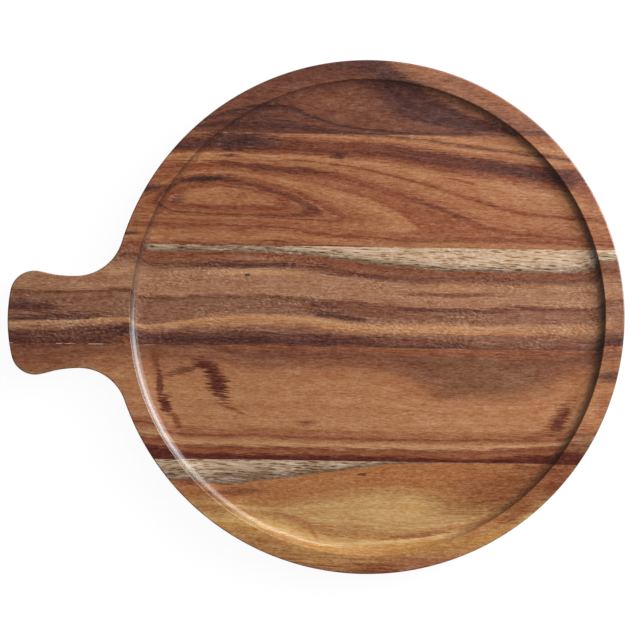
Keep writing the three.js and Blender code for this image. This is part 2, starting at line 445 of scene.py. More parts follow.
INNER_BACK_FIGURE = Figure(
    slope=0.1,
    fleck=0.8,
    lines=(
        Line(Tone.RUST, (-175, 49), (-60, 50.5), (-20, 49.5), (175, 48)),
        Line(Tone.CARAMEL, (-175, 54), (-100, 53.5), (-60, 55), (-20, 51.5), (0, 50), (40, 49),
             (175, 48.5)),
        Line(Tone.CARAMEL, (-175, 58), (-100, 57), (-60, 58.5), (-20, 54.5), (0, 52.6), (40, 50.5),
             (80, 52), (175, 49.5)),
        Line(Tone.RUST, (-175, 63), (-110, 64.5), (-60, 62), (-37, 58.3), (10, 55.6), (40, 54.6),
             (80, 56), (175, 51)),
        Line(Tone.RUSSET, (-175, 66), (-60, 64), (-37, 60.6), (10, 58), (40, 57.5), (80, 59.5), (175, 53)),
        Line(Tone.CLAY, (-175, 69), (-60, 67.5), (10, 62), (40, 62), (80, 62.5), (130, 55.4), (175, 54.5)),
        Line(Tone.CLAY, (-150, 101), (-100, 104), (-62, 101), (-37, 97.5), (10, 87), (40, 77.5),
             (94, 58.8), (130, 56)),
        *sheaf(
            (-150, -94, -62, -25, 10, 41, 94, 130),
            (Tone.RUST, 102.5, 105.8, 104, 99.5, 90, 79.6, 60.4, 57),
            (Tone.RUSSET, 105, 108, 107.2, 103, 94, 84, 66, 61),
        ),
        *sheaf(
            (-150, -62, -25, 10, 49, 76, 102, 175),
            (Tone.CARAMEL, 106, 109.4, 106, 99.8, 90, 81.5, 74.4, 66),
            (Tone.RUST, 106.6, 110, 107, 101, 91.2, 82.7, 75.4, 67),
            (Tone.CARAMEL, 107.4, 111, 108.4, 103, 94, 86.5, 80, 71),
        ),
        Line(Tone.TAN, (-150, 110), (-100, 114), (-62, 113), (-25, 110.5), (49, 101), (76, 96.5),
             (102, 92), (175, 80)),
        *sheaf(
            (-150, -100, -25, 10, 49, 102, 175),
            (Tone.RUST, 112.5, 116.5, 113.5, 111.5, 106, 99, 86),
            (Tone.MAROON, 115, 119, 116.5, 114.8, 109.5, 102, 90),
            (Tone.MAROON, 118, 122.5, 119.5, 118, 112.5, 105.5, 95),
            (Tone.MAROON, 121, 125.5, 122.5, 121, 116, 109, 99),
        ),
        *sheaf(
            (-150, -100, -60, -25, 10, 49, 102, 175),
            (Tone.RUSSET, 126, 129.6, 127.4, 125, 124, 119, 112.2, 103),
            (Tone.TAN, 129, 131.6, 129.2, 127.4, 126.2, 121.5, 115, 106),
        ),
        *sheaf(
            (-150, -60, 10, 49, 80, 102, 175),
            (Tone.COCOA, 133, 131, 128.6, 124.5, 119.5, 117, 108),
            (Tone.TAN, 135, 133, 130, 126.5, 122, 119.5, 111),
        ),
        Line(Tone.RUSSET, (-150, 138), (10, 133), (80, 128), (175, 118)),
    ),
    rings=(
        Ring(
            Tone.CARAMEL,
            ((-150, 68), (-60, 66), (-20, 61.5), (10, 59.5), (25, 59.5), (36, 62.5), (44, 72)),
            ((-150, 91), (-130, 100.5), (-110, 102.5), (-60, 98), (-20, 89), (20, 75.5), (36, 62.5),
             (42, 54)),
        ),
        Ring(
            Tone.TAN,
            ((-150, 69), (-60, 67), (-20, 62.5), (10, 60.8), (20, 61.2), (29, 63.5), (38, 74)),
            ((-150, 90), (-130, 99.8), (-110, 101.5), (-62, 95.8), (0, 78.5), (15, 72.5), (29, 63.5),
             (36, 52)),
        ),
        Ring(
            Tone.CARAMEL,
            ((-150, 69.6), (-60, 67.6), (-20, 63.2), (0, 62), (10, 62.8), (16, 66), (26, 76)),
            ((-150, 89), (-130, 98.8), (-110, 100.6), (-62, 93.5), (0, 74.5), (8, 71), (16, 66), (26, 56)),
        ),
        Ring(
            Tone.RUSSET,
            ((-150, 70.2), (-60, 68.3), (-20, 64.6), (-8, 64.2), (2, 67), (10, 76)),
            ((-150, 88), (-130, 98), (-110, 99.9), (-62, 91.8), (-31, 81.8), (-10, 73), (2, 67), (10, 58)),
        ),
        Ring(
            Tone.RUST,
            ((-150, 70.8), (-60, 69.2), (-40, 67.4), (-27, 67.2), (-19, 69.8), (-11, 78)),
            ((-150, 87), (-130, 97), (-110, 99.2), (-62, 89.8), (-45, 84.4), (-26, 74), (-19, 69.8),
             (-11, 62)),
        ),
        Ring(
            Tone.RUSSET,
            ((-150, 71.2), (-60, 69.8), (-42, 68.8), (-33, 69.3), (-26, 72), (-19, 80)),
            ((-150, 86), (-130, 96), (-110, 98.6), (-62, 88.6), (-48, 83.4), (-35, 77), (-26, 72),
             (-19, 64)),
        ),
        Ring(
            Tone.RUST,
            ((-151, 79), (-146, 74.5), (-138, 72), (-100, 71.2), (-60, 70.2), (-46, 70), (-34, 74.5),
             (-28, 83)),
            ((-151, 81), (-146, 87), (-138, 94), (-125, 98.6), (-110, 98.8), (-70, 91.5), (-45, 82),
             (-34, 74.5), (-28, 66)),
        ),
        Ring(
            Tone.MAROON,
            ((-149, 79.5), (-144.5, 75), (-137, 72.8), (-100, 72), (-60, 71), (-46, 71.8), (-39, 75.6),
             (-34, 83)),
            ((-149, 80.5), (-144, 86), (-137, 92), (-125, 96), (-110, 95.8), (-70, 88.4), (-47, 79.6),
             (-39, 75.6), (-34, 69)),
        ),
        Ring(
            Tone.CLAY,
            ((-147, 79.5), (-142, 75.8), (-136, 73.7), (-100, 73), (-60, 72.4), (-53, 73.8), (-47, 77.5),
             (-41, 84)),
            ((-147, 80.5), (-142, 85), (-135, 90), (-122, 93), (-105, 92.2), (-70, 85.4), (-55, 80.8),
             (-47, 77.5), (-41, 72)),
        ),
        Ring(
            Tone.RUST,
            ((-144, 80), (-138, 77.8), (-130, 77.2), (-100, 77.6), (-70, 77.2), (-58, 80), (-52, 86)),
            ((-144, 80), (-138, 84.8), (-130, 88), (-115, 90.8), (-100, 90.6), (-85, 88.6), (-58, 80),
             (-52, 74)),
        ),
        Ring(
            Tone.RUSSET,
            ((-141, 81.5), (-134, 79.3), (-100, 78.4), (-76, 78.4), (-66, 81), (-60, 88)),
            ((-141, 82.5), (-132, 86.6), (-115, 89.8), (-100, 89.6), (-84, 87.4), (-66, 81), (-60, 76)),
        ),
        Ring(
            Tone.CARAMEL,
            ((-136, 83), (-126, 81), (-100, 80.4), (-84, 80.6), (-72, 82.6), (-66, 89)),
            ((-136, 84), (-124, 87.4), (-108, 88.4), (-92, 86.8), (-80, 84.6), (-72, 82.6), (-66, 77)),
        ),
    ),
    stains=(
        Torn(Tone.PLUM, (-93, 122), (34, 7), 0, 0.95),
        Torn(Tone.INK, (-93, 122), (17, 4), 0, 0.5),
        Stain(Tone.INK, (-116, 96), (24, 4), 4, 0.75),
        Torn(Tone.MAROON, (-66, 104), (46, 3.6), -4, 0.85),
        Stain(Tone.MAROON, (-38, 75.5), (9, 4), -35, 0.8),
        Stain(Tone.TAN, (-118, 84), (16, 4), 0, 0.7),
        Torn(Tone.CHESTNUT, (-90, 84), (5, 2.4), 0, 0.7),
        Torn(Tone.UMBER, (-135, 81), (7, 4), 20, 0.7),
        Torn(Tone.OXBLOOD, (-100, 112.5), (10, 1.8), 0, 0.8),
        Torn(Tone.PLUM, (-22.5, 113), (7, 3), 0, 0.8),
        Torn(Tone.RUST, (-20, 120), (50, 4), -2, 0.6),
        Torn(Tone.PLUM, (112, 103), (44, 3.6), -9, 0.8),
        Torn(Tone.MAROON, (52, 76), (30, 1.8), -19, 0.8),
        Torn(Tone.RUST, (68, 96), (16, 1.4), -16, 0.8),
        Stain(Tone.PLUM, (-158, 87.5), (22, 4.6), 4, 0.95),
        Stain(Tone.CLAY, (153, 87), (18, 9), -55, 0.8),
        Stain(Tone.PLUM, (-128, 118.5), (20, 4), 4, 0.85),
        Torn(Tone.PLUM, (-98, 127), (36, 3), 0, 0.8),
        Stain(Tone.PLUM, (-172, 56.5), (18, 2.4), 0, 0.9),
    ),
)

EDGE_BACK_FIGURE = Figure(
    slope=0.8,
    fleck=0.6,
    lines=(
        Line(Tone.COCOA, (-127, 127), (127, 127)),
        Line(Tone.PLUM, (-110, 131), (-85, 134.5), (-60, 134.5), (-20, 131), (30, 128.5), (110, 128)),
        Line(Tone.COCOA, (-110, 133), (-85, 138), (-60, 139.5), (-20, 133.6), (0, 131), (25, 129.5),
             (110, 128.5)),
        *sheaf(
            (-110, -85, -60, -40, -15, 0, 20, 90, 110),
            (Tone.PLUM, 135.5, 142, 147, 140.4, 134.2, 132.2, 130.8, 129, 124),
            (Tone.COCOA, 138, 146, 150, 143.5, 136.6, 134.4, 132.5, 129.5, 124.4),
        ),
        Line(Tone.COCOA, (-110, 150), (-60, 158), (-30, 156), (-5, 152), (5, 146), (20, 137), (60, 132),
             (90, 130), (110, 124.8)),
        Line(Tone.PLUM, (-110, 170), (-60, 184), (0, 175), (8, 163), (15, 155), (28, 146.5), (45, 138.5),
             (70, 134), (95, 130), (110, 125.2)),
        Line(Tone.PLUM, (-110, 174), (-60, 188), (0, 179), (22, 165), (40, 155.5), (52, 149), (65, 142),
             (85, 135.8), (95, 131), (110, 125.6)),
        Line(Tone.CHESTNUT, (-110, 180), (0, 184), (25, 168.5), (45, 158), (58, 151.5), (72, 145),
             (90, 138), (110, 126.4)),
        Line(Tone.RUSSET, (-110, 190), (0, 196), (40, 176), (60, 168), (80, 158), (100, 149), (127, 138)),
    ),
    stains=(
        Torn(Tone.PLUM, (-80, 138), (30, 4), 0, 0.6),
        Torn(Tone.UMBER, (-70, 158), (40, 6), 18, 0.5),
        Stain(Tone.CHESTNUT, (-30, 152), (30, 7), -6, 0.4),
        Stain(Tone.PLUM, (58, 140), (34, 10), -28, 0.7),
        Stain(Tone.CHESTNUT, (62, 160), (30, 7), -22, 0.7),
    ),
)


class SolidAcacia:
    """Oiled acacia, planed and sanded: brown heartwood bands, dark veins, grey-beige sapwood and open pores.

    The figure is a function of the place inside the plank, so that cuts at any angle show one figure.
    """

    # Millimetres: the range that the growth lines are drawn in, and the sizes of the wood's texture.
    SPAN_X = (-260.0, 190.0)
    SPAN_Y = (-200.0, 200.0)
    LEAST_GAP = 0.05
    RING_EDGE = 2.0
    WANDER = Grain(60.0, 20.0, 2.0)
    WANDER_REACH = 4.0
    RAG = Grain(24.0, 2.0, 3.0, 0.05)
    RAG_REACH = 2.4
    STREAK = Grain(20.0, 1.1, 3.0, -0.06, 0.3)
    FLECK = Grain(3.6, 1.2, 3.0)
    SPECK = Grain(1.5, 0.8, 2.0)
    MOTTLE = Grain(16.0, 7.0, 2.0, 0.0, 0.4)
    CURL = Grain(2.6, 1.3, 2.0, -0.5)
    PATCH = Grain(45.0, 16.0, 1.0)
    # Real pores are about 0.2 mm wide, too fine to show in the render, so they are drawn as coarse as this.
    PORE = Grain(9.0, 1.3, 0.0)
    BUMP_DEPTH = 0.1
    # Fine growth lines: their length in millimetres and their width as a share of the drawn ones.
    GROWTH = Grain(140.0, 1 / 2.6, 4.0, 0.0, 0.5)
    # How rough noise is between its octaves, how far streaks fray a band, in lines, and where curl shows.
    NOISE_ROUGHNESS = 0.6
    FRAY = 2.2
    CURLED = (-0.05, 0.08)
    # Pores: from their rim to their middle, their depth in brown wood, and how grey the wood is that shows
    # them most, by its saturation. The streaks of grey wood are stronger too.
    PORE_EDGE = (0.4, 0.18)
    PORE_DEPTH = 0.2
    GREY = (0.66, 0.56)
    GREY_STREAK = 1.9
    # Specks: their strength in plain wood, and what each step of fleck adds.
    SPECK_STRENGTH = (0.15, 0.4)
    # End grain and painted shade, by the share of the surface's normal along the fibres: where the darkening
    # starts and where it is darkest, and the brightness that is left there. Beyond the real darkening of end
    # grain, it is set strong to paint the shade on the dish's steep walls by the lip.
    END_GRAIN_AND_SHADE = (0.1, 0.7)
    END_AND_SHADE_VALUE = 0.38
    # Shine of planed and of routed wood, and the upright share of the normal on each.
    SHINE = (0.5, 0.7)
    UPRIGHT = (0.99, 0.88)
    ROUGHNESS = 0.23
    FLECK_ROUGHNESS = 0.1
    STREAK_RELIEF = 0.4
    BUMP_STRENGTH = 0.12

    def __init__(self, name: str, figure: Figure, floor: float) -> None:
        """Start the material.

        Args:
            name: The material's name.
            figure: The stave's figure.
            floor: Height of the dish floor in metres, where the figure is drawn.
        """
        self.figure = figure
        self.floor = floor / MM
        self.material = bpy.data.materials.new(name)
        self.node = node_adder(self.material)

    def texture(self, place: Feed, grain: Grain) -> bpy.types.Node:
        """Lay noise whose grains have a real size.

        Args:
            place: Position in millimetres.
            grain: Size and lean of a grain.

        Returns:
            Noise around 0, mostly within a quarter to either side.
        """
        feeds = {"Vector": place, "Rotation": (0, 0, grain.lean), "Scale": grain.scale}
        turned = self.node("ShaderNodeMapping", feeds, vector_type="TEXTURE")
        feeds = {"Vector": turned, "Scale": 1.0, "Detail": grain.octaves, "Roughness": self.NOISE_ROUGHNESS}
        noise = self.node("ShaderNodeTexNoise", feeds)
        return self.node("ShaderNodeMath", {0: noise, 1: 0.5}, operation="SUBTRACT")

    def drawn(self, points: tuple[Point, ...], along: Feed) -> bpy.types.Node:
        """Draw a line along the stave through a few points.

        Args:
            points: The line's points, in millimetres.
            along: Place along the stave, as a share of the span.

        Returns:
            The line's place across the stave, as a share of the span.
        """
        low_x, high_x = self.SPAN_X
        low_y, high_y = self.SPAN_Y
        curve = self.node("ShaderNodeFloatCurve", {"Value": along})
        knots = curve.mapping.curves[0].points
        # A new curve has two knots, and the others are added.
        for i, (x, y) in enumerate(points):
            place = ((x - low_x) / (high_x - low_x), (y - low_y) / (high_y - low_y))
            knot = knots[i] if i < 2 else knots.new(*place)
            knot.location = place
            knot.handle_type = "AUTO_CLAMPED"
        curve.mapping.update()
        return curve

    def coloured(self, count: Feed, tones: list[Tone]) -> bpy.types.Node:
        """Turn a count of growth lines into their colours.

        Args:
            count: Lines passed, with the share of the gap after the last.
            tones: Each line's tone.

        Returns:
            The colour.
        """
        last = len(tones) - 1
        share = self.node("ShaderNodeMath", {0: count, 1: last}, operation="DIVIDE")
        ramp = self.node("ShaderNodeValToRGB", {0: share})
        ramp.color_ramp.interpolation = "EASE"
        stops = ramp.color_ramp.elements
        stops[0].color = linear(tones[0].value)
        stops[1].color = linear(tones[-1].value)
        for i, tone in enumerate(tones[1:-1], 1):
            stops.new(i / last).color = linear(tone.value)
        return ramp

    def passed(self, offsets: list[Feed]) -> Feed:
        """Count the lines that a place has passed, with the share of the gap after the last.

        Args:
            offsets: How far the place is past each line, as a share of the span, from the first line on.

        Returns:
            A number from 0 to one less than the number of lines.
        """
        least = self.LEAST_GAP / (self.SPAN_Y[1] - self.SPAN_Y[0])
        count, before = 0.0, offsets[0]
        for offset in offsets[1:]:
            limit = self.node("ShaderNodeMath", {0: before, 1: least}, operation="SUBTRACT")
            after = self.node("ShaderNodeMath", {0: offset, 1: limit}, operation="MINIMUM")
            share = self.node("ShaderNodeMapRange", {"Value": 0.0, "From Min": before, "From Max": after})
            count = self.node("ShaderNodeMath", {0: share, 1: count}, operation="ADD")
            before = after
        return count

    def figured(self, along: Feed, across: Feed, fray: Feed) -> tuple[Feed, Feed]:
        """Colour the wood between its growth lines and within its closed rings.

        Args:
            along: Place along the stave, as a share of the span.
            across: Place across it.
            fray: Noise that frays the bands, in lines.

        Returns:
            The colour, and the count of lines and rings passed.
        """
        offsets = [
            self.node("ShaderNodeMath", {0: across, 1: self.drawn(line.points, along)}, operation="SUBTRACT")
            for line in self.figure.lines
        ]
        age = self.passed(offsets)
        frayed = self.node("ShaderNodeMath", {0: age, 1: fray}, operation="ADD")
        colour = self.coloured(frayed, [line.tone for line in self.figure.lines])
        if not self.figure.rings:
            return colour, age
        depths = []
        for ring in self.figure.rings:
            front, back = self.drawn(ring.front, along), self.drawn(ring.back, along)
            front = self.node("ShaderNodeMath", {0: across, 1: front}, operation="SUBTRACT")
            back = self.node("ShaderNodeMath", {0: back, 1: across}, operation="SUBTRACT")
            depths.append(self.node("ShaderNodeMath", {0: front, 1: back}, operation="MINIMUM"))
        count = self.passed(depths)
        frayed = self.node("ShaderNodeMath", {0: count, 1: fray}, operation="ADD")
        inner = self.coloured(frayed, [ring.tone for ring in self.figure.rings])
        edge = self.RING_EDGE / (self.SPAN_Y[1] - self.SPAN_Y[0])
        cover = self.node("ShaderNodeMapRange", {"Value": depths[0], "From Max": edge})
        colour = self.node("ShaderNodeMix", {0: cover, 6: colour, 7: inner}, data_type="RGBA")
        return colour, self.node("ShaderNodeMath", {0: age, 1: count}, operation="ADD")

    def stained(self, colour: Feed, flat: Feed, tears: dict[Edge, Feed]) -> Feed:
        """Lay the stave's stains over its bands and rings.

        Args:
            colour: The colour so far.
            flat: Place along and across the stave, in millimetres.
            tears: For each kind of edge, the noise that tears it.

        Returns:
            The stained colour.
        """
        for stain in self.figure.stains:
            tear, soft = stain.edge.value
            feeds = {
                "Vector": flat,
                "Location": (*stain.at, 0),
                "Rotation": (0, 0, math.radians(stain.turn)),
                "Scale": (*stain.reach, 1),
            }
            turned = self.node("ShaderNodeMapping", feeds, vector_type="TEXTURE")
            far = self.node("ShaderNodeVectorMath", {0: turned}, operation="LENGTH").outputs["Value"]
            feeds = {0: tears[stain.edge], 1: tear, 2: far}
            torn = self.node("ShaderNodeMath", feeds, operation="MULTIPLY_ADD")
            feeds = {"Value": torn, "From Min": 1.0, "From Max": 1.0 - soft, "To Max": stain.strength}
            cover = self.node("ShaderNodeMapRange", feeds, interpolation_type="SMOOTHSTEP")
            feeds = {0: cover, 6: colour, 7: linear(stain.tone.value)}
            colour = self.node("ShaderNodeMix", feeds, data_type="RGBA")
        return colour

    def build(self) -> bpy.types.Material:
        """Build the whole tree.

        Returns:
            The finished material.
        """
        node = self.node
        coords = node("ShaderNodeTexCoord").outputs
        scaled = node("ShaderNodeVectorMath", {0: coords["Object"], "Scale": 1 / MM}, operation="SCALE")
        x, y, z = node("ShaderNodeSeparateXYZ", {0: scaled}).outputs
        deep = node("ShaderNodeMath", {0: z, 1: self.floor}, operation="SUBTRACT")
        laid = node("ShaderNodeMath", {0: deep, 1: -self.figure.slope, 2: y}, operation="MULTIPLY_ADD")
        plank = node("ShaderNodeCombineXYZ", {0: x, 1: laid, 2: deep})

        # The bands wander a little, their edges are ragged, and short streaks fray them.
        wander = self.texture(plank, self.WANDER)
        wound = node("ShaderNodeMath", {0: wander, 1: self.WANDER_REACH, 2: laid}, operation="MULTIPLY_ADD")
        flow = node("ShaderNodeCombineXYZ", {0: x, 1: wound, 2: deep})
        rag = self.texture(flow, self.RAG)
        ragged = node("ShaderNodeMath", {0: rag, 1: self.RAG_REACH, 2: wound}, operation="MULTIPLY_ADD")
        streak = self.texture(flow, self.STREAK)
        fleck = self.texture(flow, self.FLECK)
        fray = node("ShaderNodeMath", {0: streak, 1: self.FRAY}, operation="MULTIPLY")
        feeds = {"Value": x, "From Min": self.SPAN_X[0], "From Max": self.SPAN_X[1]}
        along = node("ShaderNodeMapRange", feeds)
        feeds = {"Value": ragged, "From Min": self.SPAN_Y[0], "From Max": self.SPAN_Y[1]}
        across = node("ShaderNodeMapRange", feeds)
        colour, age = self.figured(along, across, fray)
        flat = node("ShaderNodeCombineXYZ", {0: x, 1: ragged})
        colour = self.stained(colour, flat, {Edge.SOFT: rag, Edge.TORN: streak})

        # Fine growth lines follow the figure.
        growth = self.texture(node("ShaderNodeCombineXYZ", {0: x, 1: age}), self.GROWTH)

        # Curly grain comes in patches.
        low, high = self.CURLED
        feeds = {"Value": self.texture(flow, self.PATCH), "From Min": low, "From Max": high}
        patch = node("ShaderNodeMapRange", feeds)
        curl = node("ShaderNodeMath", {0: self.texture(flow, self.CURL), 1: patch}, operation="MULTIPLY")

        # Pores are short dark dashes, and stand out where the wood is pale and grey.
        feeds = {"Vector": flow, "Scale": self.PORE.scale}
        dashes = node("ShaderNodeMapping", feeds, vector_type="TEXTURE")
        far = node("ShaderNodeTexVoronoi", {"Vector": dashes, "Scale": 1.0}).outputs["Distance"]
        rim, middle = self.PORE_EDGE
        pit = node("ShaderNodeMapRange", {"Value": far, "From Min": rim, "From Max": middle})
        full = node("ShaderNodeSeparateColor", {0: colour}, mode="HSV").outputs[1]
        brown, greyest = self.GREY
        grey = node("ShaderNodeMapRange", {"Value": full, "From Min": brown, "From Max": greyest})
        depth = node("ShaderNodeMath", {0: grey, 1: self.PORE_DEPTH}, operation="ADD")
        vessels = node("ShaderNodeMath", {0: streak, 1: grey}, operation="MULTIPLY")

        # A power above 1 darkens the wood and makes it redder, as its denser parts are.
        power = node("ShaderNodeMath", {0: pit, 1: depth, 2: 1.0}, operation="MULTIPLY_ADD")
        plain, added = self.SPECK_STRENGTH
        layers = (
            (fleck, self.figure.fleck),
            (self.texture(flow, self.SPECK), plain + added * self.figure.fleck),
            (streak, self.STREAK.strength),
            (vessels, self.GREY_STREAK),
            (self.texture(flow, self.MOTTLE), self.MOTTLE.strength),
            (growth, self.GROWTH.strength),
            (curl, self.figure.curl),
        )
        for layer, strength in layers:
            power = node("ShaderNodeMath", {0: layer, 1: -strength, 2: power}, operation="MULTIPLY_ADD")

        # End grain soaks up more oil, so a surface that cuts across the fibres is darker.
        # This darkening is also painted shade: set stronger than end grain alone, it draws the dark line
        # along the dish's steep walls by the lip.
        facing = node("ShaderNodeSeparateXYZ", {0: coords["Normal"]}).outputs
        ends = node("ShaderNodeMath", {0: facing["X"]}, operation="ABSOLUTE")
        low, high = self.END_GRAIN_AND_SHADE
        feeds = {"Value": ends, "From Min": low, "From Max": high, "To Min": 1.0, "To Max": self.END_AND_SHADE_VALUE}
        end_grain_and_shade = node("ShaderNodeMapRange", feeds)
        shaded = node("ShaderNodeGamma", {"Color": colour, "Gamma": power})
        oiled_and_shaded = node("ShaderNodeHueSaturation", {"Color": shaded, "Value": end_grain_and_shade})

        # Dark grain lies a little lower, and flecks are a little duller.
        feeds = {0: streak, 1: self.STREAK_RELIEF, 2: power}
        relief = node("ShaderNodeMath", feeds, operation="MULTIPLY_ADD")
        feeds = {"Strength": self.BUMP_STRENGTH, "Distance": self.BUMP_DEPTH * MM, "Height": relief}
        bump = node("ShaderNodeBump", feeds, invert=True)
        feeds = {0: fleck, 1: self.FLECK_ROUGHNESS, 2: self.ROUGHNESS}
        rough = node("ShaderNodeMath", feeds, operation="MULTIPLY_ADD")

        # The router burnishes the cove and the lip, so they shine more than the planed wood.
        feeds = {
            "Value": facing["Z"],
            "From Min": self.UPRIGHT[0],
            "From Max": self.UPRIGHT[1],
            "To Min": self.SHINE[0],
            "To Max": self.SHINE[1],
        }
        shine = node("ShaderNodeMapRange", feeds)
        feeds = {"Base Color": oiled_and_shaded, "Roughness": rough, "Specular IOR Level": shine, "Normal": bump}
        node("ShaderNodeOutputMaterial", {"Surface": node("ShaderNodeBsdfPrincipled", feeds)})
        return self.material


@dataclass(frozen=True)
class CuredGlue:
    """Cured wood glue, sanded flush: a translucent brown line that dries pale where it stood thick."""

    dark: str = "#5a3d2c"
    pale: str = "#c3a884"
    white: str = "#f4ead8"
    roughness: float = 0.5
    fleck_length: float = 9.0
    # The noise between which the film turns from dark to pale.
    fleck_edge: Point = (0.55, 0.68)
    # Places along X in millimetres where the film is white, and half the length of each.
    thick: tuple[Point, ...] = ((-191.0, 5.0), (-210.0, 1.5), (-217.0, 2.0), (-250.5, 1.0))

    def build(self) -> bpy.types.Material:
        """Build the glue's material.

        Returns:
            The finished material.
        """
        material = bpy.data.materials.new("cured_wood_glue")
        node = node_adder(material)
        place = node("ShaderNodeTexCoord").outputs["Object"]
        feeds = {"Vector": place, "Scale": 1 / (self.fleck_length * MM), "Detail": 3.0}
        noise = node("ShaderNodeTexNoise", feeds)
        low, high = self.fleck_edge
        fleck = node("ShaderNodeMapRange", {"Value": noise, "From Min": low, "From Max": high})
        feeds = {0: fleck, 6: linear(self.dark), 7: linear(self.pale)}
        colour = node("ShaderNodeMix", feeds, data_type="RGBA")
        x = node("ShaderNodeSeparateXYZ", {0: place}).outputs["X"]
        for at, reach in self.thick:
            near = node("ShaderNodeMath", {0: x, 1: at * MM, 2: reach * MM}, operation="COMPARE")
            colour = node("ShaderNodeMix", {0: near, 6: colour, 7: linear(self.white)}, data_type="RGBA")
        glue = node("ShaderNodeBsdfPrincipled", {"Base Color": colour, "Roughness": self.roughness})
        node("ShaderNodeOutputMaterial", {"Surface": glue})
        return material


@dataclass(frozen=True)
class Grip:
    """The grip's outline past the disc, in metres along and across its own axis."""

    length: float = 72.5 * MM
    width: float = 73.3 * MM
    neck: float = 65.0 * MM
    fillet: float = 34.0 * MM
    corner: float = 17.0 * MM
    bow: float = 112.0 * MM
    lean: float = math.radians(1.8)


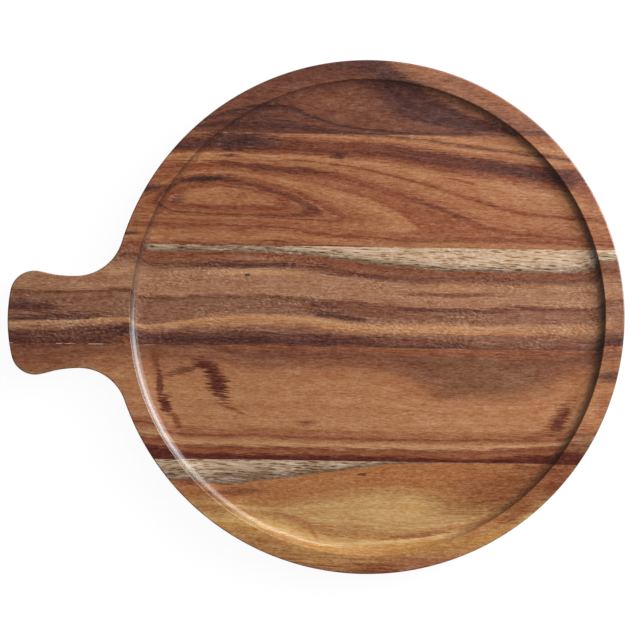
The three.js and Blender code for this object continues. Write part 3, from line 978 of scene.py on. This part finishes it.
@dataclass
class Board:
    """The panel cut to its outline, with rounded arrises and a routed dish, before it is parted."""

    disc_radius: float
    thickness: float
    grip: Grip = field(default_factory=Grip)
    edge_radius: float = 1.0 * MM
    rim_width: float = 13.0 * MM
    dish_depth: float = 5.0 * MM
    sweep_radius: float = 40.0 * MM
    sweep_turn: float = math.radians(11)
    cove_radius: float = 8.0 * MM
    lip_radius: float = 0.8 * MM
    facet_sag: float = 0.004 * MM
    least_facets: int = 4
    circle_facets: int = 480
    # How far the swept edge laps onto the flats, as a share of its radius.
    lap: float = 1.5
    # Points this near are one, and a height this near a flat is the flat's.
    merge_gap: float = 0.002 * MM
    level_gap: float = 0.01 * MM
    # A face whose normal is more upright than this is flat.
    flat_normal: float = 0.99999

    @property
    def floor(self) -> float:
        """Height of the dish floor."""
        return self.thickness - self.dish_depth

    def arc(self, centre: Vector, radius: float, start: float, end: float) -> list[Vector]:
        """Points along an arc, its end left out.

        Args:
            centre: The arc's centre.
            radius: Its radius.
            start: Angle of its first point.
            end: Angle that it runs to.

        Returns:
            Points that stay within the allowed sag.
        """
        step = 2 * math.acos(1 - self.facet_sag / radius)
        count = max(self.least_facets, math.ceil(abs(end - start) / step))
        angles = (start + (end - start) * i / count for i in range(count))
        return [centre + radius * Vector((math.cos(a), math.sin(a))) for a in angles]

    def outline(self) -> list[Vector]:
        """The whole outline as tangent arcs, counter-clockwise.

        Returns:
            Points in the board's plane.
        """
        grip = self.grip
        wide, neck = grip.width / 2, grip.neck / 2
        fillet_y = neck + grip.fillet
        neck_x = math.sqrt((self.disc_radius + grip.fillet) ** 2 - fillet_y ** 2)
        end = Vector((self.disc_radius + grip.length - grip.bow, 0))
        corner_y = wide - grip.corner
        corner_x = end.x + math.sqrt((grip.bow - grip.corner) ** 2 - corner_y ** 2)
        across, rise = corner_x - neck_x, neck - corner_y
        hollow = (across ** 2 + rise ** 2 - grip.corner ** 2) / (2 * (wide - neck))
        middle, fillet = Vector((0, 0)), Vector((neck_x, fillet_y))
        corner, waist = Vector((corner_x, corner_y)), Vector((neck_x, neck + hollow))

        def heading(a: Vector, b: Vector) -> float:
            """Angle of the line from a to b."""
            return math.atan2(b.y - a.y, b.x - a.x)

        arcs = [
            (end, grip.bow, 0.0, heading(end, corner)),
            (corner, grip.corner, heading(end, corner), heading(corner, waist)),
            (waist, hollow, heading(waist, corner), -math.pi / 2),
            (fillet, grip.fillet, -math.pi / 2, heading(fillet, middle)),
        ]
        upper = [p for a in arcs for p in self.arc(*a)]
        tangent = heading(middle, fillet)
        disc = self.arc(middle, self.disc_radius, tangent, 2 * math.pi - tangent)
        lower = [Vector((p.x, -p.y)) for p in reversed(upper[1:])]
        start = Vector((disc[0].x, -disc[0].y))
        turn = math.pi + grip.lean
        cos, sin = math.cos(turn), math.sin(turn)
        points = upper + disc + [start] + lower
        return [Vector((cos * p.x - sin * p.y, sin * p.x + cos * p.y)) for p in points]

    def edge_section(self) -> list[Vector]:
        """The edge's section, from the underside to the top.

        Returns:
            Points by their distance inward from the outline and their height.
        """
        radius, top = self.edge_radius, self.thickness
        return [
            Vector((self.lap * radius, 0)),
            *self.arc(Vector((radius, radius)), radius, -math.pi / 2, -math.pi),
            Vector((0, radius)),
            *self.arc(Vector((radius, top - radius)), radius, math.pi, math.pi / 2),
            Vector((radius, top)),
            Vector((self.lap * radius, top)),
        ]

    def dish_section(self) -> list[Vector]:
        """The dish's section, from its floor up the sweep, the cove and the lip to the rim.

        Returns:
            Points by their distance inward from the lip's circle and their height.
        """
        lip = Vector((0, self.thickness - self.lip_radius))
        apart, reach = self.sweep_radius - self.cove_radius, self.cove_radius + self.lip_radius
        sweep_y = self.floor + self.sweep_radius
        cove_y = sweep_y - apart * math.cos(self.sweep_turn)
        cove = Vector((math.sqrt(reach ** 2 - (cove_y - lip.y) ** 2), cove_y))
        sweep = Vector((cove.x + apart * math.sin(self.sweep_turn), sweep_y))
        sweep_end = -math.pi / 2 - self.sweep_turn
        wall = math.atan2(cove.y - lip.y, cove.x)
        return [
            Vector((sweep.x + self.lip_radius, self.floor)),
            *self.arc(sweep, self.sweep_radius, -math.pi / 2, sweep_end),
            *self.arc(cove, self.cove_radius, sweep_end, wall - math.pi),
            *self.arc(lip, self.lip_radius, wall, math.pi / 2),
            Vector((0, self.thickness)),
            Vector((-self.lip_radius, self.thickness)),
        ]

    def section_tree(self) -> bpy.types.NodeTree:
        """The tree that sweeps the edge's section round the outline and the dish's round its circle.

        Returns:
            A tree whose input is the three wires, marked 0 to 2, with the sizes that it needs beside them.
        """
        tree = bpy.data.node_groups.new("board_sections", "GeometryNodeTree")
        inputs = {
            "Wires": "Geometry",
            "Lip circle": "Float",
            "Floor height": "Float",
            "Thickness": "Float",
            "Wood": "Material",
        }
        for name, kind in inputs.items():
            tree.interface.new_socket(name, in_out="INPUT", socket_type="NodeSocket" + kind)
        tree.interface.new_socket("Board", in_out="OUTPUT", socket_type="NodeSocketGeometry")
        node = partial(add_node, tree)
        given = node("NodeGroupInput").outputs

        mark = node("GeometryNodeInputNamedAttribute", {"Name": "wire"}, data_type="INT")
        wires = []
        for i in range(3):
            chosen = node("FunctionNodeCompare", {2: mark, 3: i}, data_type="INT", operation="EQUAL")
            wires.append(node("GeometryNodeMeshToCurve", {"Mesh": given["Wires"], "Selection": chosen}))
        feeds = {"Resolution": self.circle_facets, "Radius": given["Lip circle"]}
        circle = node("GeometryNodeCurvePrimitiveCircle", feeds)
        edge = node("GeometryNodeCurveToMesh", {"Curve": wires[0], "Profile Curve": wires[1]})
        dish = node("GeometryNodeCurveToMesh", {"Curve": circle, "Profile Curve": wires[2]})
        bands = node("GeometryNodeJoinGeometry", {0: [edge, dish]})

        # The bands' free edges bound the underside, the floor and the rim.
        faces = node("GeometryNodeInputMeshEdgeNeighbors")
        free = node("FunctionNodeCompare", {2: faces, 3: 1}, data_type="INT", operation="EQUAL")
        height = node("ShaderNodeSeparateXYZ", {0: node("GeometryNodeInputPosition")}).outputs["Z"]
        flats = []
        for level in (0.0, given["Floor height"], given["Thickness"]):
            feeds = {0: height, 1: level, "Epsilon": self.level_gap}
            near = node("FunctionNodeCompare", feeds, operation="EQUAL")
            bound = node("FunctionNodeBooleanMath", {0: free, 1: near}, operation="AND")
            loops = node("GeometryNodeMeshToCurve", {"Mesh": bands, "Selection": bound})
            face = node("GeometryNodeFillCurve", {"Curve": loops}, mode="NGONS")
            lift = node("ShaderNodeCombineXYZ", {2: level})
            flats.append(node("GeometryNodeSetPosition", {"Geometry": face, "Offset": lift}))
        whole = node("GeometryNodeJoinGeometry", {0: [bands, *flats]})
        closed = node("GeometryNodeMergeByDistance", {"Geometry": whole, "Distance": self.merge_gap})
        real = node("GeometryNodeRealizeInstances", {"Geometry": closed})
        dressed = node("GeometryNodeSetMaterial", {"Geometry": real, "Material": given["Wood"]})
        node("NodeGroupOutput", {0: dressed})
        return tree

    def wires(self) -> bpy.types.Mesh:
        """Draw the outline and both sections as wires.

        Returns:
            A mesh of edges, each wire's points marked with its number. A swept section's X runs outward and
            its Y downward, so both sections are turned.
        """
        drawn = (self.outline(), [-p for p in self.edge_section()], [-p for p in self.dish_section()])
        points, edges, marks = [], [], []
        for i, wire in enumerate(drawn):
            first, last = len(points), len(points) + len(wire) - 1
            edges += [(j, j + 1) for j in range(first, last)]
            points += [p.to_3d() for p in wire]
            marks += [i] * len(wire)
        edges.append((len(drawn[0]) - 1, 0))
        mesh = bpy.data.meshes.new("board_wires")
        mesh.from_pydata(points, edges, [])
        mesh.attributes.new("wire", "INT", "POINT").data.foreach_set("value", marks)
        return mesh

    def build(self, wood: bpy.types.Material) -> bpy.types.Mesh:
        """Build the whole board as one closed mesh.

        Args:
            wood: A material for it, which each stave later replaces.

        Returns:
            The board's mesh, with flat faces shaded flat and curved ones smooth.
        """
        blank = bpy.data.objects.new("board_blank", self.wires())
        bpy.context.scene.collection.objects.link(blank)
        modifier = blank.modifiers.new("sections", "NODES")
        modifier.node_group = self.section_tree()
        values = {
            "Lip circle": self.disc_radius - self.rim_width,
            "Floor height": self.floor,
            "Thickness": self.thickness,
            "Wood": wood,
        }
        for item in modifier.node_group.interface.items_tree:
            if item.name in values:
                modifier[item.identifier] = values[item.name]
        evaluated = blank.evaluated_get(bpy.context.evaluated_depsgraph_get())
        mesh = bpy.data.meshes.new_from_object(evaluated)
        bpy.data.objects.remove(blank)
        shape = bmesh.new()
        shape.from_mesh(mesh)
        bmesh.ops.recalc_face_normals(shape, faces=shape.faces)
        for face in shape.faces:
            face.smooth = abs(face.normal.z) < self.flat_normal
        shape.to_mesh(mesh)
        shape.free()
        return mesh


@dataclass
class Slice:
    """A piece of the board between two planes across the staves."""

    node: str
    slot: str
    finish: bpy.types.Material
    suffix: str
    # Points this near a cutting plane, in metres, lie on it.
    cut_gap: float = 1e-7

    def build(self, board: bpy.types.Mesh) -> bpy.types.Object:
        """Part the piece from the board where its solid lies.

        Args:
            board: The whole board.

        Returns:
            The dressed piece, riding on the part's one body.
        """
        low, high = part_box(self.node)
        shape = bmesh.new()
        shape.from_mesh(board)
        for y, outward in ((low.y, Vector((0, -1, 0))), (high.y, Vector((0, 1, 0)))):
            everything = shape.verts[:] + shape.edges[:] + shape.faces[:]
            cut = bmesh.ops.bisect_plane(
                shape,
                geom=everything,
                plane_co=(0, y, 0),
                plane_no=outward,
                clear_outer=True,
                dist=self.cut_gap,
            )
            edges = [e for e in cut["geom_cut"] if isinstance(e, bmesh.types.BMEdge)]
            if edges:
                for edge in edges:
                    edge.smooth = False
                bmesh.ops.holes_fill(shape, edges=edges, sides=0)
        bmesh.ops.recalc_face_normals(shape, faces=shape.faces)
        open_edges = sum(len(e.link_faces) != 2 for e in shape.edges)
        mesh = bpy.data.meshes.new(self.node + self.suffix)
        shape.to_mesh(mesh)
        shape.free()
        mesh.materials.clear()
        mesh.materials.append(self.finish)
        piece = bpy.data.objects.new(self.node + self.suffix, mesh)
        bpy.context.scene.collection.objects.link(piece)
        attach(piece, "root")
        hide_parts(self.node)
        LOG.info("%s: %d faces, %d open edges", piece.name, len(mesh.polygons), open_edges)
        return piece


@dataclass(frozen=True)
class Lamp:
    """A soft lamp that faces the disc's middle: degrees round and up, metres away and across, and watts."""

    name: str
    turn: float
    height: float
    far: float
    size: Point
    power: float

    def build(self) -> bpy.types.Object:
        """Hang the lamp.

        Returns:
            The lamp's object.
        """
        light = bpy.data.lights.new(self.name, "AREA")
        light.shape = "RECTANGLE"
        light.size, light.size_y = self.size
        light.energy = self.power
        lamp = bpy.data.objects.new(self.name, light)
        turn, height = math.radians(self.turn), math.radians(self.height)
        flat = math.cos(height)
        towards = Vector((math.cos(turn) * flat, math.sin(turn) * flat, math.sin(height)))
        lamp.location = towards * self.far
        lamp.rotation_euler = towards.to_track_quat("Z", "Y").to_euler()
        bpy.context.scene.collection.objects.link(lamp)
        return lamp


@dataclass(frozen=True)
class Studio:
    """A white floor, a soft key light at the back right, a low window on the right and a camera above."""

    look_at: Point = (-35.6 * MM, -0.5 * MM)
    frame_width: float = 446.0 * MM
    lens: float = 85.0
    sensor: float = 36.0
    roll: float = math.radians(0.84)
    lamps: tuple[Lamp, ...] = (
        Lamp("key", 42.0, 47.0, 1.7, (1.3, 1.3), 24.5),
        Lamp("window", 20.0, 19.0, 1.5, (0.9, 0.95), 26.0),
    )
    sky: float = 0.17
    white: str = "#ffffff"
    sheet: str = "#f3f3f3"
    lift: float = 0.92
    glow: float = 1.03
    floor_reach: float = 4.0
    floor_level: float = -0.1 * MM

    def build(self, top: float) -> None:
        """Build the floor, the lights and the camera.

        Args:
            top: Height of the board's rim, which the camera frames.
        """
        scene = bpy.context.scene
        scene.view_settings.view_transform = "Standard"
        self.build_floor()
        self.build_sky(scene)
        camera = bpy.data.cameras.new("camera")
        camera.lens = self.lens
        camera.sensor_width = self.sensor
        view = bpy.data.objects.new("camera", camera)
        view.location = (*self.look_at, top + self.frame_width * self.lens / self.sensor)
        view.rotation_euler = (0, 0, self.roll)
        scene.collection.objects.link(view)
        scene.camera = view
        for lamp in self.lamps:
            lamp.build()

    def build_floor(self) -> None:
        """Lay the floor: a matt white sheet, a little lifted for the camera so that it shows white."""
        mesh = bpy.data.meshes.new("floor")
        far, level = self.floor_reach, self.floor_level
        corners = [(x * far, y * far, level) for x, y in ((-1, -1), (1, -1), (1, 1), (-1, 1))]
        mesh.from_pydata(corners, [], [(0, 1, 2, 3)])
        floor = bpy.data.objects.new("floor", mesh)
        bpy.context.scene.collection.objects.link(floor)
        material = bpy.data.materials.new("white_sheet")
        node = node_adder(material)
        sheet = node("ShaderNodeBsdfDiffuse", {"Color": linear(self.sheet)})
        glow = node("ShaderNodeEmission", {"Color": linear(self.white), "Strength": self.glow})
        lifted = node("ShaderNodeMixShader", {0: self.lift, 1: sheet, 2: glow})
        seen = node("ShaderNodeLightPath").outputs["Is Camera Ray"]
        both = node("ShaderNodeMixShader", {0: seen, 1: sheet, 2: lifted})
        node("ShaderNodeOutputMaterial", {"Surface": both})
        mesh.materials.append(material)

    def build_sky(self, scene: bpy.types.Scene) -> None:
        """Light the scene evenly from all round, and show white behind the floor.

        Args:
            scene: The scene that gets the sky.
        """
        world = bpy.data.worlds.new("soft_sky")
        scene.world = world
        node = node_adder(world)
        white = linear(self.white)
        lit = node("ShaderNodeBackground", {"Color": white, "Strength": self.sky})
        shown = node("ShaderNodeBackground", {"Color": white, "Strength": 1.0})
        seen = node("ShaderNodeLightPath").outputs["Is Camera Ray"]
        both = node("ShaderNodeMixShader", {0: seen, 1: lit, 2: shown})
        node("ShaderNodeOutputWorld", {"Surface": both})


FIGURES: dict[str, Figure] = {
    "edge_stave_front": EDGE_FRONT_FIGURE,
    "grip_stave_front": GRIP_FRONT_FIGURE,
    "grip_stave_back": GRIP_BACK_FIGURE,
    "inner_stave_back": INNER_BACK_FIGURE,
    "edge_stave_back": EDGE_BACK_FIGURE,
}
GLUE_LINES = ("glue_line_front", "glue_line_grip", "glue_line_inner", "glue_line_back")


def main() -> None:
    """Build the platter, then its studio."""
    logging.basicConfig(level=logging.INFO, format="%(name)s: %(message)s")
    low, high = CAD_BOX
    board = Board(disc_radius=high.x, thickness=high.z - low.z)
    glue = CuredGlue().build()
    panel = board.build(glue)
    for node, figure in FIGURES.items():
        wood = SolidAcacia("oiled_acacia_" + node, figure, board.floor).build()
        Slice(node, node, wood, "_oiled").build(panel)
    for node in GLUE_LINES:
        Slice(node, "wood_glue", glue, "_film").build(panel)
    Studio().build(high.z)


if __name__ == "__main__":
    main()
